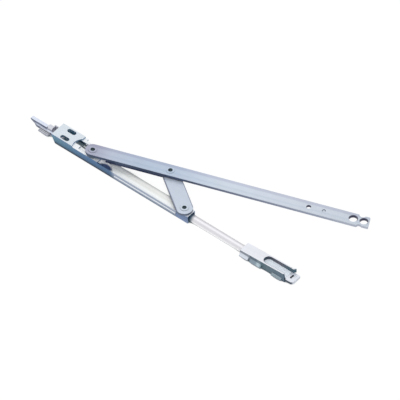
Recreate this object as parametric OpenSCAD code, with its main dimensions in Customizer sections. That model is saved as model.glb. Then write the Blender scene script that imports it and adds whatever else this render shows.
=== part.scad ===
// Scissor window stay: a driven arm on a sliding foot, steadied by a short link on a fixed pivot.
// Millimetres, +Z up. X runs along the base towards the drive rod, Y towards the opened arm.
// The origin is the centre of the two fixing slots on the mounting plane.

/* [Linkage] */
// Distance from the arm's foot pivot to the link pivot
arm_crank = 83; // [70:0.5:95]
// Distance between the link's two pivots
link_span = 49.5; // [46:0.5:56]
// Angle between the arm and the base in the stored pose
open_angle = 19.5; // [16:0.5:22]
// Radius of the pivot shanks
pivot_r = 3; // [2.5:0.1:3.5]
// Radial running clearance in the pivot holes
pivot_clear = 0.05; // [0.03:0.01:0.09]
// Axial gap between faces that turn on each other
face_gap = 0.1; // [0.1:0.05:0.2]

/* [Arm] */
// Width of the arm
arm_w = 15; // [13:0.5:17]
// Thickness of the arm
arm_t = 3; // [2.5:0.1:3.5]
// Distance from the foot pivot to the sash stud hole
stud_at = 277; // [250:1:300]
// Radius of the sash stud hole
stud_hole_r = 4.25; // [3.5:0.05:4.5]
// Radius of the tail hole
tail_hole_r = 4; // [3:0.05:4.2]
// Thickness of the strip under the arm
strip_t = 3; // [2:0.1:3.2]

/* [Link] */
// Width of the link
link_w = 17.5; // [15:0.5:19]
// Thickness of the link
link_t = 2.5; // [2:0.1:3]

/* [Base] */
// Width of the rail
rail_w = 11.6; // [11.2:0.1:13]
// Height of the rail
rail_h = 8.4; // [8:0.1:9]
// Sheet thickness of the base
sheet = 1.3; // [1:0.05:1.3]
// Height of the block that carries the fixed pivot
block_h = 9.6; // [9.5:0.1:10.5]
// Width of the box at the fixing end
box_w = 18.8; // [17:0.2:21]
// Thickness of the fixing plate
plate_t = 1.5; // [1:0.1:2]
// Width of a fixing slot
slot_w = 4.8; // [4:0.1:5.4]
// End-to-end length of a fixing slot
slot_len = 10.6; // [8:0.2:12]
// Distance between the two fixing slots
slot_pitch = 11; // [9.5:0.1:12]

/* [Drive] */
// Radius of the drive rod
rod_r = 4; // [3.5:0.05:4]
// Height of the drive rod's axis
rod_z = 4.3; // [4.2:0.05:4.5]
// Side clearance round the sliding pieces
slide_clear = 0.75; // [0.7:0.05:0.9]
// Width of the end connector
conn_w = 12.8; // [12:0.2:14]
// Height of the end connector at its open end
conn_h = 11.8; // [10.5:0.1:12.4]
// Wall thickness of the end connector
conn_t = 1.3; // [1:0.1:1.5]

/* [Hidden] */
$fn = 64;
steel = [0.80, 0.82, 0.86];
bright = [0.90, 0.91, 0.92];
dark = [0.35, 0.45, 0.52];
pale = [0.86, 0.88, 0.86];
link_angle = asin(arm_crank * sin(open_angle) / link_span);
foot_x = -(arm_crank * cos(open_angle) + link_span * cos(link_angle));
closed_x = -(arm_crank + link_span);
joint_x = foot_x + arm_crank * cos(open_angle);
joint_y = arm_crank * sin(open_angle);
front_y = -rail_w / 2;
rear_y = front_y + box_w;
mid_y = (front_y + rear_y) / 2;
// Height stack above the block
link_z = block_h + 0.5 + face_gap;
link_top = link_z + link_t;
arm_z = link_top + face_gap + 0.8;
arm_top = arm_z + arm_t;
// Stations along the base
box_x0 = foot_x - 49.2;
box_x1 = foot_x + 10.4;
plate_x1 = foot_x - 20.2;
roof_front = foot_x + 31;
roof_rear = foot_x + 18;
block_x0 = -6.5;
block_x1 = 9;
pin_r = 2.3;
window_x0 = closed_x - pin_r - slide_clear - 0.2;
pocket_x0 = closed_x - 10.5;
pocket_y0 = 1;
window_x1 = foot_x + pin_r + 0.2;
window_y0 = -pin_r - slide_clear;
window_y1 = window_y0 + 10.4;
slot_x = foot_x - 35.1;
bar_w = rail_w - 2 * sheet - 2 * slide_clear - 0.6;
bar_z = 2;
bar_t = 4;
bar_back = 16.4;
bead_r = 1.1;
bead_z = rail_h / 2;
rod_x0 = block_x0 + foot_x - closed_x + 0.6;
rod_x1 = 100;
conn_x0 = 77;
conn_z0 = 1;
conn_left_h = rod_z + rod_r + 0.6;
socket_x1 = 102;
wall_x1 = 133.6;
rear_x1 = wall_x1 - 0.4;
tab_x1 = 143.8;
hole_x = 137.9;
plate_z = 3.5;
plate_top = 6.2;
slot_round_x = 108.4;
slot_half = conn_w / 2 - conn_t;
lip_w = 2.2;
lip_z = 2;
lip_t = 0.7;
lip_top = 6.4;
tab_z = 2.8;
tab_round = 3.6;
tail_len = 16.7;
tail_hole_at = stud_at + 11.2;
arm_end = stud_at + tail_len;
head_r = 4.5;
head_t = 0.35;
head_bore = 2.3;
// End fitting and cross pin
fit_z = 4.3;
pin_reach = 33.6;
pin_thick_len = 21.1;
cross_at = 6;
bar_y0 = mid_y - 4.4;
pin_y0 = mid_y - 2.4;
pin_w = 3.8;
bar_y1 = pin_y0 + 0.2;
clip_w = 4.4;
collar_y = mid_y + 1.2;
collar_r = 3.2;
ear_y1 = mid_y + 5.8;

// Moves the linkage, drawn about the fixed pivot, to the fixing slots' frame
module placed() {
    translate([-slot_x, -mid_y, 0])
        children();
}

// A bar with round ends from the origin to x = l
module round_bar(l, w, t) {
    translate([0, -w / 2, 0])
        cube([l, w, t]);
    cylinder(h = t, r = w / 2);
    translate([l, 0, 0])
        cylinder(h = t, r = w / 2);
}

// A slot along X, centred on the origin
module slot_cut(l, w, t) {
    translate([-(l - w) / 2, 0, 0])
        round_bar(l - w, w, t);
}

// A hollow-ended rivet head with its shank below, top face at z = 0
module hollow_head(head, shank, reach) {
    difference() {
        union() {
            translate([0, 0, -head_t])
                cylinder(h = head_t, r = head);
            translate([0, 0, -head_t - reach])
                cylinder(h = reach, r = shank);
        }
        translate([0, 0, -3])
            cylinder(h = 4, r = head_bore);
    }
}

// One sheet channel: wide box at the fixing end, narrow rail towards the rod
module base_channel() {
    color(bright)
    placed()
    difference() {
        union() {
            // front wall, box part and rail part
            translate([box_x0, front_y, 0])
                cube([box_x1 - box_x0, sheet, block_h]);
            translate([box_x1, front_y, 0])
                cube([block_x0 - box_x1, sheet, rail_h]);
            // rear wall of the rail
            translate([roof_rear, -front_y - sheet, 0])
                cube([block_x0 - roof_rear, sheet, rail_h]);
            // rolled bead along both rail walls
            translate([roof_front + 2, front_y + 0.1, bead_z])
                rotate([0, 90, 0])
                    cylinder(h = block_x0 - roof_front - 2, r = bead_r);
            translate([roof_rear + 2, -front_y - 0.1, bead_z])
                rotate([0, 90, 0])
                    cylinder(h = block_x0 - roof_rear - 2, r = bead_r);
            // rail roof with its slanted left end
            translate([0, 0, rail_h - sheet])
                linear_extrude(height = sheet)
                    polygon([[roof_front, front_y], [block_x0, front_y],
                        [block_x0, -front_y], [roof_rear, -front_y]]);
            // box roof
            translate([box_x0, front_y, block_h - sheet])
                cube([box_x1 - box_x0, box_w, sheet]);
            // rear wall of the box, then its low rear foot
            translate([box_x0, rear_y - sheet, 0])
                cube([plate_x1 - box_x0, sheet, block_h]);
            translate([plate_x1 - 4, rear_y - sheet, 0])
                cube([12, sheet + 3, sheet]);
        }
        // window for the foot, with a pocket behind its run
        translate([window_x0, window_y0, block_h - sheet - 1])
            cube([window_x1 - window_x0, window_y1 - window_y0, sheet + 2]);
        translate([pocket_x0, pocket_y0, block_h - sheet - 1])
            cube([window_x0 - pocket_x0 + 1, window_y1 - pocket_y0, sheet + 2]);
        // the roof is cut away behind the arm's foot
        translate([plate_x1 + 4, window_y1 + 3.2, block_h - sheet - 1])
            cube([box_x1 - plate_x1, box_w, sheet + 2]);
        // fixing slots
        for (s = [-1, 1])
            translate([slot_x, mid_y + s * slot_pitch / 2, block_h - sheet - 1])
                slot_cut(slot_len, slot_w, sheet + 2);
        // slanted left end of the walls
        translate([box_x0, front_y - 1, 0])
            rotate([-90, 0, 0])
                linear_extrude(height = box_w + 2)
                    polygon([[-1, 1], [4.4, 1], [4, 0], [0, -block_h + sheet], [-1, -block_h + sheet]]);
    }
}

// Fixing plate with two slots and a hollowed end that clears the arm's foot
module fixing_plate() {
    color(bright)
    placed()
    difference() {
        translate([box_x0, front_y, block_h])
            cube([plate_x1 - box_x0, box_w, plate_t]);
        for (s = [-1, 1])
            translate([slot_x, mid_y + s * slot_pitch / 2, block_h - 1])
                slot_cut(slot_len, slot_w, plate_t + 2);
        translate([closed_x, 0, block_h - 1])
            cylinder(h = plate_t + 2, r = 10.9);
    }
}

// Hollow block at the rail's end: the rod slides through it, the link turns on top of it
module pivot_block() {
    color(bright)
    placed()
    difference() {
        translate([block_x0, front_y, 0])
            cube([block_x1 - block_x0, rail_w, block_h]);
        translate([block_x0 - 1, -rod_r - slide_clear, -1])
            cube([block_x1 - block_x0 + 2, 2 * (rod_r + slide_clear), rod_z + rod_r + 0.3 + 1]);
        translate([0, 0, -1])
            cylinder(h = block_h + 2, r = pivot_r);
    }
}

// Fixed pivot of the link
module fixed_pivot() {
    color(steel)
    placed()
    translate([0, 0, link_top + face_gap + head_t])
        hollow_head(head_r, pivot_r, link_top + face_gap - (rod_z + rod_r + 0.3));
}

// Washer between block and link
module pivot_washer() {
    color(steel)
    placed()
    translate([0, 0, block_h])
        difference() {
            cylinder(h = 0.5, r = 5.5);
            translate([0, 0, -1])
                cylinder(h = 3, r = pivot_r);
        }
}

// Holder at the far left: a low tray with a rear ear
module end_holder() {
    color(bright)
    placed()
    union() {
        translate([box_x0 + pin_thick_len - pin_reach + 0.5, bar_y0, 0])
            cube([pin_reach - pin_thick_len + 3.5, ear_y1 - bar_y0, sheet]);
        translate([box_x0 - 8, ear_y1 - sheet, 0])
            cube([4.5, sheet, 2 * fit_z - 1.8]);
        // tongue between the box's walls
        translate([box_x0 + 4, front_y + sheet, 0])
            cube([3.4, box_w - 2 * sheet, sheet]);
    }
}

// Collar that carries the end pin
module end_collar() {
    color(bright)
    placed()
    translate([box_x0 + pin_thick_len - pin_reach, collar_y, fit_z - 0.4])
        difference() {
            rotate([0, 90, 0])
                cylinder(h = 6, r = collar_r);
            // open tunnel towards the box
            translate([1.4, 0, 0])
                rotate([0, 90, 0])
                    cylinder(h = 9, r = collar_r - 1.2);
            // flat seat on the tray
            translate([-1, -2 * collar_r, sheet - fit_z + 0.4 - 4])
                cube([12, 4 * collar_r, 4]);
        }
}

// End pin with a bevelled tip
module end_pin() {
    color(bright)
    placed()
    union() {
        // upper bar with a slanted tip
        translate([0, pin_y0 + pin_w, 0])
            rotate([90, 0, 0])
                linear_extrude(height = pin_w)
                    polygon([[box_x0 - pin_reach, fit_z + 0.4], [box_x0 - pin_reach + 4, fit_z - 2],
                        [box_x0 - pin_reach + pin_thick_len, fit_z - 2],
                        [box_x0 - pin_reach + pin_thick_len, fit_z + 2.1], [box_x0 - pin_reach, fit_z + 2.1]]);
        // lower bar beside it
        translate([0, 0, sheet])
            linear_extrude(height = fit_z - 0.1 - sheet)
                polygon([[box_x0 - pin_reach + 5, bar_y1], [box_x0 - pin_reach + 9, bar_y0],
                    [box_x0 - 4, bar_y0], [box_x0 - 4, bar_y1]]);
    }
}

// Ribbed clip beside the pin
module ribbed_clip() {
    color(pale)
    placed()
    translate([box_x0 - 18.5, bar_y0 - clip_w, fit_z - 2.1])
        difference() {
            cube([12.5, clip_w, 2.4]);
            for (k = [0:1])
                translate([-1, 0.9 + k * 1.7, 1.4])
                    cube([15, 0.7, 2]);
        }
}

// Short link
module link_bar() {
    color(steel)
    placed()
    translate([0, 0, link_z])
        rotate([0, 0, 180 - link_angle])
            difference() {
                round_bar(link_span, link_w, link_t);
                for (x = [0, link_span])
                    translate([x, 0, -1])
                        cylinder(h = link_t + 2, r = pivot_r + pivot_clear);
            }
}

// Frame of the arm: foot pivot at the origin, X along the arm
module on_arm() {
    translate([foot_x, 0, 0])
        rotate([0, 0, open_angle])
            children();
}

// Long arm with its hook-on tail
module arm_bar() {
    color(steel)
    placed()
    on_arm()
        translate([0, 0, arm_z])
            difference() {
                union() {
                    cylinder(h = arm_t, r = arm_w / 2);
                    translate([0, -arm_w / 2, 0])
                        cube([arm_end + 2, arm_w, arm_t]);
                }
                translate([0, 0, -1])
                    cylinder(h = arm_t + 2, r = pivot_r + pivot_clear);
                translate([arm_crank, 0, -1])
                    cylinder(h = arm_t + 2, r = pivot_r);
                translate([stud_at - 47, 0, -1])
                    cylinder(h = arm_t + 2, r = 2.5);
                translate([stud_at - 31, 0, -1])
                    cylinder(h = arm_t + 2, r = 2);
                translate([stud_at, 0, -1])
                    cylinder(h = arm_t + 2, r = stud_hole_r);
                translate([tail_hole_at, 0, -1])
                    cylinder(h = arm_t + 2, r = tail_hole_r);
                // waist before the tail, and the tail's narrower sides
                translate([stud_at + 8.4, -arm_w / 2 - 0.7, -1])
                    cylinder(h = arm_t + 2, r = 3);
                translate([stud_at + 7.6, arm_w / 2 + 0.9, -1])
                    cylinder(h = arm_t + 2, r = 3.6);
                translate([stud_at + 8.4, -arm_w / 2 - 2, -1])
                    cube([20, 3.4, arm_t + 2]);
                translate([stud_at + 7.6, arm_w / 2 - 0.5, -1])
                    cube([20, 3, arm_t + 2]);
                // slanted end
                translate([arm_end, 0, -1])
                    rotate([0, 0, 8])
                        translate([0, -arm_w, 0])
                            cube([arm_w, 2 * arm_w, arm_t + 2]);
            }
}

// Strip under the arm between foot and link
module arm_strip() {
    color(dark)
    placed()
    on_arm()
        translate([0, 0, arm_z - strip_t])
            difference() {
                translate([16, -arm_w / 2 + 0.4, 0])
                    cube([arm_crank - 20, arm_w - 0.8, strip_t]);
                // hollowed end that clears the link
                translate([arm_crank, 0, -1])
                    cylinder(h = strip_t + 2, r = link_w / 2 + 0.4);
            }
}

// Pivot between arm and link, fixed in the arm
module link_pivot() {
    color(steel)
    placed()
    on_arm()
        translate([arm_crank, 0, 0]) {
            translate([0, 0, arm_top + head_t])
                hollow_head(head_r, pivot_r, arm_top - link_z + face_gap);
            translate([0, 0, link_z - face_gap - head_t])
                cylinder(h = head_t, r = head_r);
        }
}

// Washer between link and arm
module link_washer() {
    color(steel)
    placed()
    on_arm()
        translate([arm_crank, 0, link_top + face_gap])
            difference() {
                cylinder(h = arm_z - link_top - face_gap, r = 6);
                translate([0, 0, -1])
                    cylinder(h = 4, r = pivot_r);
            }
}

// Small rivet near the tail
module stop_rivet() {
    color(steel)
    placed()
    on_arm()
        translate([stud_at - 31, 0, 0]) {
            translate([0, 0, arm_z])
                cylinder(h = arm_t - 0.7, r = 2);
            translate([0, 0, arm_z - 0.6])
                cylinder(h = 0.6, r = 3);
        }
}

// Foot pivot: the arm turns on its shank, its thin end runs through the window
module foot_pivot() {
    color(steel)
    placed()
    translate([foot_x, 0, 0]) {
        translate([0, 0, arm_top + face_gap + head_t])
            hollow_head(head_r, pivot_r, arm_top + face_gap - block_h - 0.4);
        translate([0, 0, bar_z])
            cylinder(h = block_h + 0.4 - bar_z, r = pin_r);
    }
}

// Collar under the arm's foot
module foot_collar() {
    color(steel)
    placed()
    translate([foot_x, 0, block_h + 0.4])
        difference() {
            cylinder(h = arm_z - face_gap - block_h - 0.4, r = arm_w / 2 - 1.3);
            translate([0, 0, -1])
                cylinder(h = 12, r = pivot_r);
        }
}

// Shoe that runs under the window
module guide_shoe() {
    color(bright)
    placed()
    translate([foot_x, 0, bar_z + bar_t])
        difference() {
            translate([-bar_back, -bar_w / 2, 0])
                cube([bar_back + 9, bar_w, block_h - sheet - 0.4 - bar_z - bar_t]);
            translate([0, 0, -1])
                cylinder(h = 8, r = pin_r);
        }
}

// Flat bar inside the rail
module drive_bar() {
    color(bright)
    placed()
    difference() {
        translate([foot_x - bar_back, -bar_w / 2, bar_z])
            cube([rod_x0 - foot_x + bar_back, bar_w, bar_t]);
        translate([foot_x, 0, bar_z - 1])
            cylinder(h = bar_t + 2, r = pin_r);
    }
}

// Round drive rod
module drive_rod() {
    color(bright)
    placed()
    difference() {
        translate([rod_x0, 0, rod_z])
            rotate([0, 90, 0])
                cylinder(h = rod_x1 - rod_x0, r = rod_r);
        translate([conn_x0 + cross_at, conn_w / 2 + 1, rod_z])
            rotate([90, 0, 0])
                cylinder(h = conn_w + 1 - conn_t, r = 1.5);
    }
}

// A slanted lip on the connector's front wall, from x over a length, up to a height
module front_lip(x, l, top) {
    translate([x, 0, 0])
        rotate([90, 0, 90])
            linear_extrude(height = l)
                polygon([[-conn_w / 2 + 0.2, lip_z], [-conn_w / 2 - lip_w, lip_z],
                    [-conn_w / 2 - lip_w, lip_z + lip_t], [-conn_w / 2 + 0.2, top]]);
}

// Connector on the rod's end: a socket that opens into a channel
module connector_channel() {
    color(bright)
    placed()
    difference() {
        union() {
            // body that rises towards the open end
            translate([0, conn_w / 2, 0])
                rotate([90, 0, 0])
                    linear_extrude(height = conn_w)
                        polygon([[conn_x0, conn_z0], [wall_x1, conn_z0], [wall_x1, conn_h],
                            [conn_x0, conn_left_h]]);
            // lips along the front wall
            front_lip(conn_x0 + 0.2, 10.8, lip_top);
            front_lip(conn_x0 + 13.2, 14.2, lip_top);
            front_lip(conn_x0 + 41, 12.2, lip_top - 2);
        }
        // rod socket
        translate([conn_x0 - 1, 0, rod_z])
            rotate([0, 90, 0])
                cylinder(h = rod_x1 - conn_x0 + 1, r = rod_r);
        // long slot with a round left end
        translate([slot_round_x, -slot_half, plate_z])
            cube([60, 2 * slot_half, 20]);
        translate([slot_round_x, 0, plate_z])
            cylinder(h = 20, r = slot_half);
        // slanted end of the front wall, short end of the rear wall
        translate([0, -slot_half + 0.2, 0])
            rotate([90, 0, 0])
                linear_extrude(height = conn_t + lip_w)
                    polygon([[wall_x1 - 1.2, conn_h + 1], [wall_x1 - 1.2, conn_h - 0.2], [wall_x1, plate_top],
                        [wall_x1 + 2, plate_top], [wall_x1 + 2, conn_h + 1]]);
        translate([rear_x1, slot_half - 0.2, plate_top])
            cube([5, conn_t + 1, 20]);
        // cross hole for the socket pin
        translate([conn_x0 + cross_at, conn_w / 2 + 1, rod_z])
            rotate([90, 0, 0])
                cylinder(h = conn_w + 1 - conn_t, r = 1.5);
    }
}

// Pale liner on the slot's floor
module slot_floor() {
    color(pale)
    placed()
    translate([0, 0, plate_z]) {
        translate([slot_round_x, 0, 0])
            cylinder(h = plate_top - plate_z, r = slot_half);
        translate([slot_round_x, -slot_half, 0])
            cube([wall_x1 - slot_round_x, 2 * slot_half, plate_top - plate_z]);
    }
}

// Hook at the slot's open end
module connector_hook() {
    color(bright)
    placed()
    translate([rear_x1, conn_w / 2, plate_top])
        linear_extrude(height = conn_h - plate_top - 0.2)
            polygon([[0, -conn_t], [0, 0], [2, 0.2], [3.5, 2.1], [4.8, 1.4], [2.8, -conn_t]]);
}

// Tab with a cross slot and a rolled front corner
module end_tab() {
    color(bright)
    placed()
    translate([0, 0, tab_z])
        difference() {
            union() {
                translate([wall_x1, -conn_w / 2, 0])
                    cube([tab_x1 - tab_round - wall_x1, conn_w, plate_top - tab_z]);
                translate([wall_x1, -conn_w / 2 + tab_round, 0])
                    cube([tab_x1 - wall_x1, conn_w - tab_round, plate_top - tab_z]);
                translate([tab_x1 - tab_round, -conn_w / 2 + tab_round, 0])
                    cylinder(h = plate_top - tab_z, r = tab_round);
            }
            translate([hole_x, 0.5, -1])
                rotate([0, 0, 90])
                    slot_cut(5.4, 2.2, 6);
            // small relief beside the front wall
            translate([wall_x1 - 1, -conn_w / 2 - 1, -1])
                cube([2, 2.2, 6]);
        }
}

// Pin that holds the rod in its socket
module socket_pin() {
    color(steel)
    placed()
    translate([conn_x0 + cross_at, conn_w / 2, rod_z])
        rotate([90, 0, 0])
            cylinder(h = conn_w - conn_t, r = 1.5);
}

base_channel();
fixing_plate();
pivot_block();
fixed_pivot();
pivot_washer();
end_holder();
end_collar();
end_pin();
ribbed_clip();
link_bar();
arm_bar();
arm_strip();
link_pivot();
link_washer();
stop_rivet();
foot_pivot();
foot_collar();
guide_shoe();
drive_bar();
drive_rod();
connector_channel();
slot_floor();
connector_hook();
end_tab();
socket_pin();
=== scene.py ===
import math

import bpy
from mathutils import Matrix, Vector

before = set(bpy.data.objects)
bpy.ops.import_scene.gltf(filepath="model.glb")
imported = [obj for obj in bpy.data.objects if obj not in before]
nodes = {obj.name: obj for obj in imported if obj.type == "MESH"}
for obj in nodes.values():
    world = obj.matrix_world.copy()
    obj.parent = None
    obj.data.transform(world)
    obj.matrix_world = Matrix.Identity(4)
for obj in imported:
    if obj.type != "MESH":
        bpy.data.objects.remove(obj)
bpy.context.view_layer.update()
scene = bpy.context.scene

# places and directions, in metres, in the part's own frame at rest
MM = 0.001
X_WAY = (1.0, 0.0, 0.0)
Y_WAY = (0.0, 1.0, 0.0)
Z_WAY = (0.0, 0.0, 1.0)
# the link's pivot on the base, and the direction across the link
PIVOT = (0.1543591, -0.0036, 0.0)
LINK_Y = (0.5597, 0.8287, 0.0)
# the arm's foot, and the arm's own directions
FOOT = (0.0351, -0.0036, 0.0)
ARM_TURN = math.radians(19.5)
ARM_X = (math.cos(ARM_TURN), math.sin(ARM_TURN), 0.0)
ARM_Y = (-math.sin(ARM_TURN), math.cos(ARM_TURN), 0.0)
# the arm's small hole and its two large ones: distance from the foot, and radius
ARM_HOLES = ((0.230, 0.0025), (0.277, 0.00425), (0.2882, 0.0040))

# camera
AZIMUTH = math.radians(39.41)
ELEVATION = math.radians(47.30)
CAMERA_AWAY = 8.0
PICTURE_WIDTH = 0.39988
SENSOR_WIDTH = 36.0
TARGET_RIGHT = 0.015625
TARGET_UP = 0.016135
NEAREST = 0.1
FARTHEST = 50.0

right = Vector((math.cos(AZIMUTH), math.sin(AZIMUTH), 0.0))
back = Vector((
    math.sin(AZIMUTH) * math.cos(ELEVATION),
    -math.cos(AZIMUTH) * math.cos(ELEVATION),
    math.sin(ELEVATION)))
up = back.cross(right)
target = Vector(PIVOT) + right * TARGET_RIGHT + up * TARGET_UP
camera_data = bpy.data.cameras.new("camera")
camera = bpy.data.objects.new("camera", camera_data)
scene.collection.objects.link(camera)
stand = Matrix((right, up, back)).transposed().to_4x4()
stand.translation = target + back * CAMERA_AWAY
camera.matrix_world = stand
camera_data.type = "PERSP"
camera_data.sensor_width = SENSOR_WIDTH
camera_data.lens = SENSOR_WIDTH * CAMERA_AWAY / PICTURE_WIDTH
camera_data.clip_start = NEAREST
camera_data.clip_end = FARTHEST
scene.camera = camera
scene.view_settings.view_transform = "Standard"


# colours and node trees
def lin(red, green, blue):
    """Screen colour 0-255 to the linear colour that the shader takes."""
    out = []
    for value in (red, green, blue):
        part = value / 255.0
        out.append(part / 12.92 if part <= 0.04045 else ((part + 0.055) / 1.055) ** 2.4)
    return (out[0], out[1], out[2], 1.0)


class Graph:
    """A node tree, with one call for a node, a link and the usual small groups."""

    def __init__(self, tree):
        self.tree = tree

    def node(self, kind, operation=None, **values):
        """Adds a node; each value goes on the input of that name, with spaces for underscores."""
        made = self.tree.nodes.new(kind)
        if operation:
            made.operation = operation
        for key, value in values.items():
            made.inputs[key.replace("_", " ")].default_value = value
        return made

    def link(self, output, socket):
        self.tree.links.new(output, socket)

    def put(self, socket, value):
        """Links a socket to a node's output, or writes a constant on it."""
        if isinstance(value, bpy.types.NodeSocket):
            self.link(value, socket)
        else:
            socket.default_value = value

    def number(self, operation, first, second=None):
        """A sum on one or two numbers."""
        made = self.node("ShaderNodeMath", operation)
        self.put(made.inputs[0], first)
        if second is not None:
            self.put(made.inputs[1], second)
        return made.outputs[0]

    def vector(self, operation, first, second=None):
        """A sum on vectors; a distance, a length and a dot product come out as a number."""
        made = self.node("ShaderNodeVectorMath", operation)
        self.put(made.inputs[0], first)
        if second is not None:
            self.put(made.inputs[1], second)
        return made.outputs["Value" if operation in ("DISTANCE", "LENGTH", "DOT_PRODUCT") else "Vector"]

    def mix(self, share, first, second):
        """The first colour where share is 0, the second where it is 1."""
        made = self.node("ShaderNodeMix")
        made.data_type = "RGBA"
        self.link(share, made.inputs[0])
        self.put(made.inputs[6], first)
        self.put(made.inputs[7], second)
        return made.outputs[2]

    def span(self, value, low, high, smooth=False, out=(0.0, 1.0)):
        """The first of out at low and below, the second at high and above."""
        made = self.node("ShaderNodeMapRange", From_Min=low, From_Max=high, To_Min=out[0], To_Max=out[1])
        if smooth:
            made.interpolation_type = "SMOOTHSTEP"
        self.link(value, made.inputs["Value"])
        return made.outputs[0]

    def ramp(self, value, stops):
        """Colours along a value; each stop is (value, colour), the lowest first."""
        low = stops[0][0]
        high = stops[-1][0]
        made = self.node("ShaderNodeValToRGB")
        self.link(self.span(value, low, high), made.inputs[0])
        line = made.color_ramp.elements
        while len(line) < len(stops):
            line.new(0.5)
        for element, (at, colour) in zip(line, stops):
            element.position = (at - low) / (high - low)
            element.color = colour
        return made.outputs[0]

    def along(self, vector, way, start=(0.0, 0.0, 0.0)):
        """Distance from start along a direction."""
        return self.vector("DOT_PRODUCT", self.vector("SUBTRACT", vector, start), way)


def new_material(name):
    material = bpy.data.materials.new(name)
    material.use_nodes = True
    return material, Graph(material.node_tree), material.node_tree.nodes["Principled BSDF"]


# plating: noise scales per metre, the range that the two noises together cover, and the relief
CLOUD_SCALE = 70.0
LINE_SCALE = 500.0
SCRATCH_SCALE = 260.0
SCRATCH_WIDTH = 0.03
NOISE_ROUGH = 0.6
NOISE_RANGE = (0.65, 1.35)
GLOSS_LESS = 0.08
GLOSS_MORE = 0.1
BUMP_STRENGTH = 0.08
BUMP_HEIGHT = 0.0002
# steepness of a face, as the upward share of its normal: upright with painted shade, and flat
UPRIGHT_TO_FLAT = (0.15, 0.8)
# height over which an upright face's painted low shading gives way to its own colour
LOW_HEIGHT = 0.0075
HOLLOW_SAMPLES = 16
# how the rolling lines and scratches are stretched
ALONG_X = (0.05, 1.0, 1.0)
EVEN = (1.0, 1.0, 1.0)


def plating(graph, shader, place, colour, grain, cloudy, rough):
    """Gives a colour cloudy plating, rolling lines stretched along the grain, and fine scratches."""
    cloud = graph.node("ShaderNodeTexNoise", Scale=CLOUD_SCALE, Detail=4.0, Roughness=NOISE_ROUGH)
    graph.link(place, cloud.inputs["Vector"])
    stretch = graph.node("ShaderNodeMapping", Scale=grain)
    graph.link(place, stretch.inputs["Vector"])
    lines = graph.node("ShaderNodeTexNoise", Scale=LINE_SCALE, Detail=3.0, Roughness=NOISE_ROUGH)
    graph.link(stretch.outputs[0], lines.inputs["Vector"])
    noise = graph.number("ADD", cloud.outputs[0], lines.outputs[0])
    tone = graph.node("ShaderNodeVectorMath", "SCALE")
    graph.link(colour, tone.inputs[0])
    graph.link(graph.span(noise, *NOISE_RANGE, out=(1.0 - cloudy, 1.0 + cloudy)), tone.inputs["Scale"])
    graph.link(tone.outputs[0], shader.inputs["Base Color"])
    gloss = graph.span(noise, *NOISE_RANGE, out=(rough - GLOSS_LESS, rough + GLOSS_MORE))
    graph.link(gloss, shader.inputs["Roughness"])
    scratch = graph.node("ShaderNodeTexVoronoi", Scale=SCRATCH_SCALE)
    scratch.feature = "DISTANCE_TO_EDGE"
    graph.link(stretch.outputs[0], scratch.inputs["Vector"])
    groove = graph.span(scratch.outputs["Distance"], 0.0, SCRATCH_WIDTH)
    bump = graph.node("ShaderNodeBump", Strength=BUMP_STRENGTH, Distance=BUMP_HEIGHT)
    graph.link(graph.number("ADD", groove, lines.outputs[0]), bump.inputs["Height"])
    graph.link(bump.outputs[0], shader.inputs["Normal"])


def zinc(name, top, side, low=None, hollow=None, grain=ALONG_X, cloudy=0.05, metal=0.45, rough=0.38,
         shine=0.5):
    """Zinc-plated steel: top is the colour of flat faces, and side that of upright ones, where shade is
    painted.
    low is painted shading of upright ones at the mounting plane. A colour may be a function of the graph,
    the place and the normal. hollow is painted shade where the part is closed in: (colour, reach in mm,
    openness where it is full, openness where it ends)."""
    material, graph, shader = new_material(name)
    shader.inputs["Metallic"].default_value = metal
    shader.inputs["Specular IOR Level"].default_value = shine
    place = graph.node("ShaderNodeTexCoord").outputs["Object"]
    normal = graph.node("ShaderNodeNewGeometry").outputs["Normal"]
    # painted shade: upright faces take the side colour, and the low colour near the mounting plane
    looks = (top, side, low or side)
    flat, wall, foot = [look(graph, place, normal) if callable(look) else look for look in looks]
    upright = graph.mix(graph.span(graph.along(place, Z_WAY), 0.0, LOW_HEIGHT), foot, wall)
    facing = graph.number("ABSOLUTE", graph.along(normal, Z_WAY))
    colour = graph.mix(graph.span(facing, *UPRIGHT_TO_FLAT, smooth=True), upright, flat)
    # painted shade where the part is closed in
    if hollow:
        shade, reach, full, end = hollow
        openness = graph.node("ShaderNodeAmbientOcclusion", Distance=reach * MM)
        openness.samples = HOLLOW_SAMPLES
        colour = graph.mix(graph.span(openness.outputs["AO"], full, end), shade, colour)
    plating(graph, shader, place, colour, grain, cloudy, rough)
    return material


# arm: how far from a hole's edge the painted shade on its rim and on its wall fades out, and where the
# shaded rims begin across the arm
RIM_REACH = (0.0004, 0.0009)
RIM_SHADE = lin(80, 84, 106)
WALL_REACH = (0.0006, 0.0011)
HOLE_WALL_SHADE = lin(40, 44, 70)
RIM_REAR = (-0.0024, 0.0002)


def around_hole(graph, place, hole, reach, inside, outside):
    """The inside colour round a hole in the arm, and the outside colour past a reach from its edge."""
    at, radius = hole
    spot = graph.node("ShaderNodeCombineXYZ")
    graph.link(graph.along(place, ARM_X, FOOT), spot.inputs[0])
    graph.link(graph.along(place, ARM_Y, FOOT), spot.inputs[1])
    away = graph.vector("DISTANCE", spot.outputs[0], (at, 0.0, 0.0))
    return graph.mix(graph.span(away, radius + reach[0], radius + reach[1]), inside, outside)


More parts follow.
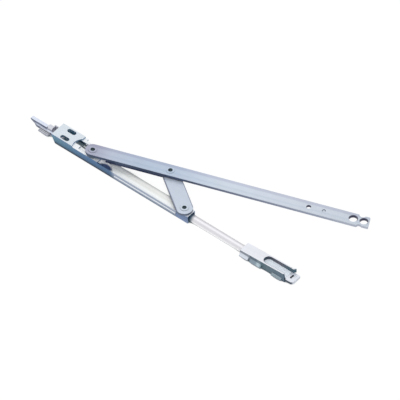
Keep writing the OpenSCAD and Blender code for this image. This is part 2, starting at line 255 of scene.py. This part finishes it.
def arm_top(graph, place, normal):
    """The arm's painted sheen is weaker at its foot. It has faint bands along it, the greyest at its rear
    edge, and painted shade on the rims at the rear of its two large holes."""
    # painted sheen along the arm, weakest at its foot
    run = graph.ramp(graph.along(place, ARM_X, FOOT), [
        (-0.01, lin(174, 176, 196)), (0.006, lin(176, 180, 200)), (0.02, lin(187, 197, 215)),
        (0.05, lin(184, 198, 218)), (0.09, lin(189, 203, 222)), (0.14, lin(208, 218, 231)),
        (0.22, lin(206, 214, 226)), (0.3, lin(198, 208, 219))])
    across = graph.along(place, ARM_Y, FOOT)
    bands = graph.ramp(across, [
        (-0.008, (0.9, 0.9, 0.92, 1)), (-0.0055, (1, 1, 1, 1)), (-0.004, (0.96, 0.97, 0.98, 1)),
        (-0.0025, (0.9, 0.92, 0.94, 1)), (-0.001, (1, 1, 1, 1)), (0.003, (1, 1, 1, 1)),
        (0.0046, (0.84, 0.82, 0.87, 1)), (0.008, (0.87, 0.85, 0.89, 1))])
    colour = graph.vector("MULTIPLY", run, bands)
    rear = graph.span(across, *RIM_REAR)
    # painted shade on the rims at the rear of the two large holes
    for hole in ARM_HOLES[1:]:
        rim = around_hole(graph, place, hole, RIM_REACH, RIM_SHADE, colour)
        colour = graph.mix(rear, colour, rim)
    return colour


def arm_side(graph, place, normal):
    """Painted shade on the upright faces: the outer edges are lighter towards the tail; the walls of
    the holes stay dark.
    """
    edge = graph.ramp(graph.along(place, ARM_X, FOOT), [
        (-0.01, lin(50, 66, 92)), (0.09, lin(66, 78, 104)), (0.16, lin(104, 112, 134)),
        (0.24, lin(142, 150, 168)), (0.3, lin(172, 178, 190))])
    # painted shade on the walls of the holes
    for hole in ARM_HOLES:
        edge = around_hole(graph, place, hole, WALL_REACH, HOLE_WALL_SHADE, edge)
    return edge


def link_top(graph, place, normal):
    """The link's long edges are painted darker, as shade along the edges."""
    # painted edge shade
    edge = lin(126, 132, 156)
    plain = lin(200, 210, 224)
    return graph.ramp(graph.along(place, LINK_Y, PIVOT), [
        (-0.009, edge), (-0.0083, edge), (-0.0077, plain), (0.0077, plain), (0.0083, edge), (0.009, edge)])


# base: where the box's wall turns into the rail's, and the height at which the painted shade on the box's
# foot ends
BOX_TO_RAIL = (0.061, 0.070)
BOX_FOOT = (0.0012, 0.0038)
# where the roof's painted bands begin, and the painted shade on the top edge of the front wall: its start,
# end and inner side
ROOF_BANDS = (0.050, 0.056)
EDGE_START = (0.0450, 0.0456)
EDGE_END = (0.0615, 0.066)
EDGE_INNER = (-0.0080, -0.0077)


def base_side(graph, place, normal):
    """Painted shade on the upright walls: the box's wall is dark, green-blue at its left end and blue
    further on;
    the rail's wall is painted pale, as lit.
    """
    run = graph.along(place, X_WAY)
    box = graph.ramp(run, [
        (-0.015, lin(88, 132, 152)), (0.005, lin(82, 124, 152)), (0.03, lin(72, 110, 152)),
        (0.06, lin(66, 100, 140))])
    return graph.mix(graph.span(run, *BOX_TO_RAIL, smooth=True), box, lin(160, 170, 188))


def base_low(graph, place, normal):
    """Painted shade at the foot of the walls: the box's wall has a dark foot; the rail's wall is lighter,
    down to the mounting plane.
    """
    box = graph.mix(graph.span(graph.along(place, Z_WAY), *BOX_FOOT), lin(0, 20, 40), lin(44, 84, 114))
    rail = graph.span(graph.along(place, X_WAY), *BOX_TO_RAIL, smooth=True)
    return graph.mix(rail, box, lin(112, 126, 146))


def base_top(graph, place, normal):
    """The rail's roof has painted shading: pale bands along it and a grey rear edge. The box is plain, and
    the front wall's top edge between the box and the rail's roof is painted dark, as shade."""
    bands = graph.ramp(graph.along(place, Y_WAY, FOOT), [
        (-0.006, lin(226, 230, 236)), (-0.0042, lin(243, 247, 249)), (-0.0026, lin(249, 252, 252)),
        (0.0, lin(233, 236, 233)), (0.0022, lin(240, 241, 239)), (0.0038, lin(226, 227, 226)),
        (0.0048, lin(202, 205, 203)), (0.006, lin(192, 197, 195))])
    run = graph.along(place, X_WAY)
    roof = graph.mix(graph.span(run, *ROOF_BANDS), lin(243, 247, 251), bands)
    # painted shade on the front wall's top edge
    edge = graph.mix(graph.span(graph.along(place, Y_WAY), *EDGE_INNER), lin(58, 84, 118), roof)
    edge = graph.mix(graph.span(run, *EDGE_END), edge, roof)
    return graph.mix(graph.span(run, *EDGE_START), roof, edge)


# drive: the direction across the rod that its painted highlight and shade bands follow, and where the rod
# leaves the pivot block, with a painted shadow
ROD_ACROSS = (0.0, 0.814, 0.58)
ROD_LEAVES = (0.1642, 0.1695)
# the painted shade along the shoe's rear edge, and its end, both from the foot
SHOE_REAR = (0.0010, 0.0022)
SHOE_LEFT = (-0.006, 0.0)
# the patch of painted shade on the bar: centre, half sizes, and the shares of them over which it fades
PATCH_AT = (0.0545, -0.0092)
PATCH_HALF = (0.0094, 0.0072)
PATCH_FADE = (0.75, 1.1)
SLIDE_PALE = lin(250, 252, 254)


def rod_round(graph, place, normal):
    """Drawn steel with a painted highlight line along the top, painted shade bands below it and behind it,
    and a painted shadow where it leaves the pivot block."""
    # painted highlight and shade by the direction of the normal
    bands = graph.ramp(graph.along(normal, ROD_ACROSS), [
        (-1.0, lin(250, 250, 252)), (-0.75, lin(226, 226, 229)), (-0.5, lin(212, 211, 216)),
        (-0.25, lin(210, 209, 214)), (-0.05, lin(219, 218, 223)), (0.12, lin(236, 235, 240)),
        (0.35, lin(245, 244, 249)), (0.55, lin(228, 227, 232)), (0.75, lin(212, 211, 216)),
        (1.0, lin(226, 225, 230))])
    # painted shadow where the rod leaves the block
    leaves = graph.span(graph.along(place, X_WAY), *ROD_LEAVES, smooth=True)
    return graph.mix(leaves, lin(50, 74, 92), bands)


def shoe_top(graph, place, normal):
    """The shoe is pale, with painted shade along its rear edge left of the arm's foot, deep in the window.
    """
    behind = graph.span(graph.along(place, Y_WAY, FOOT), *SHOE_REAR, smooth=True)
    rear = graph.mix(behind, SLIDE_PALE, lin(46, 62, 72))
    return graph.mix(graph.span(graph.along(place, X_WAY, FOOT), *SHOE_LEFT, smooth=True), rear, SLIDE_PALE)


def bar_top(graph, place, normal):
    """The bar is pale, with a patch of painted shade by the front wall where the rail's roof begins."""
    spot = graph.node(
        "ShaderNodeMapping",
        Location=(-PATCH_AT[0] / PATCH_HALF[0], -PATCH_AT[1] / PATCH_HALF[1], 0.0),
        Scale=(1 / PATCH_HALF[0], 1 / PATCH_HALF[1], 0.0))
    graph.link(place, spot.inputs["Vector"])
    away = graph.vector("LENGTH", spot.outputs[0])
    return graph.mix(graph.span(away, *PATCH_FADE, smooth=True), lin(54, 72, 112), SLIDE_PALE)


# connector and tab: the painted shade under the lips' edge, the front wall's face behind them, the middle
# between the front and rear walls, and the tab's end with the facing of its painted highlight
LIP_UNDER = (0.0023, 0.0031)
LIP_BACK = (-0.0102, -0.0099)
WALLS_MIDDLE = (-0.003, 0.0)
TAB_END = (0.2944, 0.2948)
TAB_END_FACING = (0.55, 0.9)


def on_lips(graph, place, colour):
    """Painted reflections on the lips in front of the connector's wall: a bright one, a green-grey one and a
    grey one, with painted shade at their under edge. Behind them is the given colour."""
    lips = graph.ramp(graph.along(place, X_WAY), [
        (0.23, lin(210, 216, 226)), (0.2434, lin(210, 216, 226)), (0.2436, lin(132, 148, 160)),
        (0.252, lin(136, 154, 166)), (0.254, lin(178, 194, 204)), (0.2562, lin(178, 194, 204)),
        (0.2585, lin(118, 142, 152)), (0.266, lin(142, 158, 166)), (0.29, lin(142, 158, 168))])
    lips = graph.mix(graph.span(graph.along(place, Z_WAY), *LIP_UNDER), lin(112, 120, 132), lips)
    return graph.mix(graph.span(graph.along(place, Y_WAY), *LIP_BACK), lips, colour)


def connector_top(graph, place, normal):
    """Pale, apart from the lips."""
    return on_lips(graph, place, lin(234, 236, 243))


def connector_side(graph, place, normal):
    """Painted shade and reflections on the walls: the front wall is dark, and the rear wall is a little
    lighter.
    """
    run = graph.along(place, X_WAY)
    wall = graph.ramp(run, [
        (0.23, lin(44, 52, 70)), (0.25, lin(62, 76, 92)), (0.262, lin(42, 70, 82)), (0.278, lin(48, 74, 94)),
        (0.29, lin(44, 68, 92))])
    rear = graph.ramp(run, [
        (0.255, lin(66, 74, 88)), (0.264, lin(84, 88, 100)), (0.274, lin(112, 110, 120)),
        (0.284, lin(88, 108, 120)), (0.295, lin(62, 92, 104))])
    walls = graph.mix(graph.span(graph.along(place, Y_WAY), *WALLS_MIDDLE), wall, rear)
    return on_lips(graph, place, walls)


def tab_side(graph, place, normal):
    """Painted shade darkens the tab's front edge and its slot, and a painted highlight brightens its end
    edge.
    """
    dark = lin(58, 68, 82)
    end = graph.mix(graph.span(graph.along(normal, X_WAY), *TAB_END_FACING), dark, lin(190, 196, 206))
    return graph.mix(graph.span(graph.along(place, X_WAY), *TAB_END), dark, end)


def clip_top(graph, place, normal):
    """Ribs along the clip, with painted shade darkening the grooves between them."""
    light = lin(206, 208, 216)
    dark = lin(112, 114, 130)
    return graph.ramp(graph.along(place, Y_WAY), [
        (-0.009, light), (-0.0066, light), (-0.0062, dark), (-0.0055, dark), (-0.0052, light),
        (-0.0049, light), (-0.0045, dark), (-0.004, dark)])


# finishes: each hollow is painted shade where the part is closed in: a colour, a reach in mm and a range of
# openness. The side colours are painted shade on upright faces.
BASE_SHADE = lin(56, 80, 102)
ARM_SHADE = lin(44, 50, 76)
HOLDER = lin(206, 208, 218)
RIVET_SIDE = lin(76, 88, 102)
RIVET_SHADE = (lin(96, 114, 120), 6.0, 0.4, 0.8)
base_zinc = zinc("base_zinc", base_top, base_side, base_low, (BASE_SHADE, 4.0, 0.1, 0.45))
# the block's upright faces are painted lighter towards the mounting plane, as reflected light
block_zinc = zinc(
    "block_zinc", lin(238, 244, 250), lin(96, 116, 150), lin(116, 136, 172), (BASE_SHADE, 3.0, 0.05, 0.35))
bar_zinc = zinc("bar_zinc", bar_top, lin(190, 200, 212), metal=0.05)
shoe_zinc = zinc("shoe_zinc", shoe_top, shoe_top, metal=0.05)
plate_zinc = zinc("plate_zinc", lin(220, 229, 237), lin(90, 122, 156))
arm_zinc = zinc("arm_zinc", arm_top, arm_side, hollow=(ARM_SHADE, 3.0, 0.2, 0.75))
link_zinc = zinc("link_zinc", link_top, lin(86, 96, 116), hollow=(ARM_SHADE, 3.0, 0.2, 0.7))
strip_steel = zinc("strip_steel", lin(150, 160, 182), lin(46, 56, 88))
holder_steel = zinc("holder_steel", HOLDER, HOLDER, hollow=(lin(128, 130, 146), 3.0, 0.05, 0.35))
pin_zinc = zinc(
    "pin_zinc", lin(222, 229, 244), lin(112, 120, 142), lin(96, 102, 124), (lin(70, 74, 96), 3.0, 0.2, 0.7))
collar_zinc = zinc(
    "collar_zinc", lin(214, 216, 226), lin(190, 192, 204), hollow=(lin(70, 72, 90), 3.5, 0.08, 0.4))
# the rivets' hollow is painted shade
rivet_steel = zinc("rivet_steel", lin(200, 210, 224), RIVET_SIDE, hollow=RIVET_SHADE, grain=EVEN)
arm_rivet = zinc("arm_rivet", arm_top, RIVET_SIDE, hollow=RIVET_SHADE, grain=EVEN)
rod_steel = zinc("rod_steel", rod_round, rod_round, cloudy=0.02, metal=0.3, rough=0.3)
connector_zinc = zinc(
    "connector_zinc", connector_top, connector_side, hollow=(BASE_SHADE, 2.0, 0.1, 0.35), shine=0.15)
tab_zinc = zinc("tab_zinc", lin(228, 232, 241), tab_side, hollow=(lin(24, 30, 42), 6.0, 0.2, 0.5))
liner = zinc(
    "liner", lin(234, 242, 251), lin(150, 160, 172), hollow=(lin(96, 106, 120), 3.0, 0.1, 0.5),
    cloudy=0.06, metal=0.1, rough=0.5)
clip_zinc = zinc("clip_zinc", clip_top, lin(156, 160, 172))

# a piece that isn't named here, such as a washer, has rivet_steel
finish_of = {
    "base_channel": base_zinc, "fixing_plate": plate_zinc, "pivot_block": block_zinc,
    "end_holder": holder_steel, "end_collar": collar_zinc, "end_pin": pin_zinc, "ribbed_clip": clip_zinc,
    "link_bar": link_zinc, "arm_bar": arm_zinc, "arm_strip": strip_steel,
    "drive_bar": bar_zinc, "guide_shoe": shoe_zinc, "drive_rod": rod_steel,
    "connector_channel": connector_zinc, "slot_floor": liner, "connector_hook": connector_zinc,
    "end_tab": tab_zinc, "foot_pivot": arm_rivet, "link_pivot": arm_rivet, "stop_rivet": arm_rivet,
}
# width of the rounded edges in mm; a piece that isn't named has EDGE_WIDTH
round_of = {
    "base_channel": 0.1, "fixing_plate": 0.3, "pivot_block": 0.4,
    "end_holder": 0.3, "end_collar": 0.3, "end_pin": 0.5, "ribbed_clip": 0.2,
    "link_bar": 0.45, "arm_bar": 0.3, "arm_strip": 0.3,
    "drive_bar": 0.3, "guide_shoe": 0.3, "drive_rod": 0.4,
    "connector_channel": 0.35, "slot_floor": 0.15, "connector_hook": 0.3,
    "end_tab": 0.3, "foot_pivot": 0.17, "link_pivot": 0.17, "fixed_pivot": 0.17,
}
EDGE_WIDTH = 0.12
WELD_REACH = 1e-6
FLAT_ANGLE = math.radians(0.8)
EDGE_ANGLE = math.radians(35)
EDGE_STEPS = 3
FACE_WEIGHT = 100

for name, piece in nodes.items():
    piece.data.materials.clear()
    piece.data.materials.append(finish_of.get(name, rivet_steel))
    for face in piece.data.polygons:
        face.use_smooth = True
    weld = piece.modifiers.new("weld", "WELD")
    weld.merge_threshold = WELD_REACH
    merge = piece.modifiers.new("whole_faces", "DECIMATE")
    merge.decimate_type = "DISSOLVE"
    merge.angle_limit = FLAT_ANGLE
    bevel = piece.modifiers.new("round_edges", "BEVEL")
    bevel.width = round_of.get(name, EDGE_WIDTH) * MM
    bevel.segments = EDGE_STEPS
    bevel.limit_method = "ANGLE"
    bevel.angle_limit = EDGE_ANGLE
    # the overlap limit would leave the base no rounding at all, only faces without area
    bevel.use_clamp_overlap = name != "base_channel"
    shade = piece.modifiers.new("shade", "WEIGHTED_NORMAL")
    shade.mode = "FACE_AREA"
    shade.weight = FACE_WEIGHT
    shade.keep_sharp = False

# floor and light
FLOOR_HALF = 6.0
FLOOR_Z = -0.0006
FLOOR_PAPER = (0.95, 0.95, 0.95, 1.0)
FLOOR_ROUGH = 0.9
FLOOR_WHITE = (1.05, 1.05, 1.05, 1.0)
# share of the plain white, which leaves the rest for the object's shadow
WHITE_SHARE = 0.86
# painted shade on the floor under the part: reach, range of openness and colour
UNDER_REACH = 0.03
UNDER_OPENNESS = (0.22, 0.31)
UNDER_COLOUR = lin(40, 62, 74)
UNDER_SAMPLES = 32
# strength of the sky as light, and as the background that is seen
SKY_LIGHT = 0.65
SKY_SEEN = 1.0


def seen_ray(graph):
    """1 for rays that show the background: camera, glossy and transmission rays."""
    path = graph.node("ShaderNodeLightPath").outputs
    direct = graph.number("MAXIMUM", path["Is Camera Ray"], path["Is Glossy Ray"])
    return graph.number("MAXIMUM", direct, path["Is Transmission Ray"])


def floor_paper():
    """White paper that shows plain white, the object's shadow, and painted shade where the part hides the
    sky.
    """
    material, graph, shader = new_material("floor_paper")
    shader.inputs["Base Color"].default_value = FLOOR_PAPER
    shader.inputs["Roughness"].default_value = FLOOR_ROUGH
    openness = graph.node("ShaderNodeAmbientOcclusion", Distance=UNDER_REACH)
    openness.samples = UNDER_SAMPLES
    white = graph.node("ShaderNodeEmission")
    open_sky = graph.span(openness.outputs["AO"], *UNDER_OPENNESS)
    graph.link(graph.mix(open_sky, UNDER_COLOUR, FLOOR_WHITE), white.inputs["Color"])
    both_looks = graph.node("ShaderNodeMixShader")
    graph.link(graph.number("MULTIPLY", seen_ray(graph), WHITE_SHARE), both_looks.inputs[0])
    graph.link(shader.outputs[0], both_looks.inputs[1])
    graph.link(white.outputs[0], both_looks.inputs[2])
    graph.link(both_looks.outputs[0], graph.tree.nodes["Material Output"].inputs["Surface"])
    return material


def lamp(name, where, aim, size, power):
    """A round soft lamp that points at a place and isn't seen in reflections."""
    data = bpy.data.lights.new(name, "AREA")
    data.shape = "DISK"
    data.size = size
    data.energy = power
    light = bpy.data.objects.new(name, data)
    scene.collection.objects.link(light)
    light.visible_glossy = False
    light.location = where
    light.rotation_euler = (Vector(where) - Vector(aim)).to_track_quat("Z", "Y").to_euler()


corners = [(-FLOOR_HALF, -FLOOR_HALF, 0), (FLOOR_HALF, -FLOOR_HALF, 0), (FLOOR_HALF, FLOOR_HALF, 0),
           (-FLOOR_HALF, FLOOR_HALF, 0)]
floor_mesh = bpy.data.meshes.new("floor")
floor_mesh.from_pydata(corners, [], [(0, 1, 2, 3)])
floor = bpy.data.objects.new("floor", floor_mesh)
floor.location = (0, 0, FLOOR_Z)
scene.collection.objects.link(floor)
floor.data.materials.append(floor_paper())

world = bpy.data.worlds.new("studio")
scene.world = world
world.use_nodes = True
sky = world.node_tree.nodes["Background"]
sky.inputs["Color"].default_value = (1, 1, 1, 1)
sky_graph = Graph(world.node_tree)
sky_strength = sky_graph.span(seen_ray(sky_graph), 0.0, 1.0, out=(SKY_LIGHT, SKY_SEEN))
sky_graph.link(sky_strength, sky.inputs["Strength"])

lamp("key", where=(0.85, -0.85, 1.25), aim=(0.15, 0.02, 0), size=1.2, power=14.0)
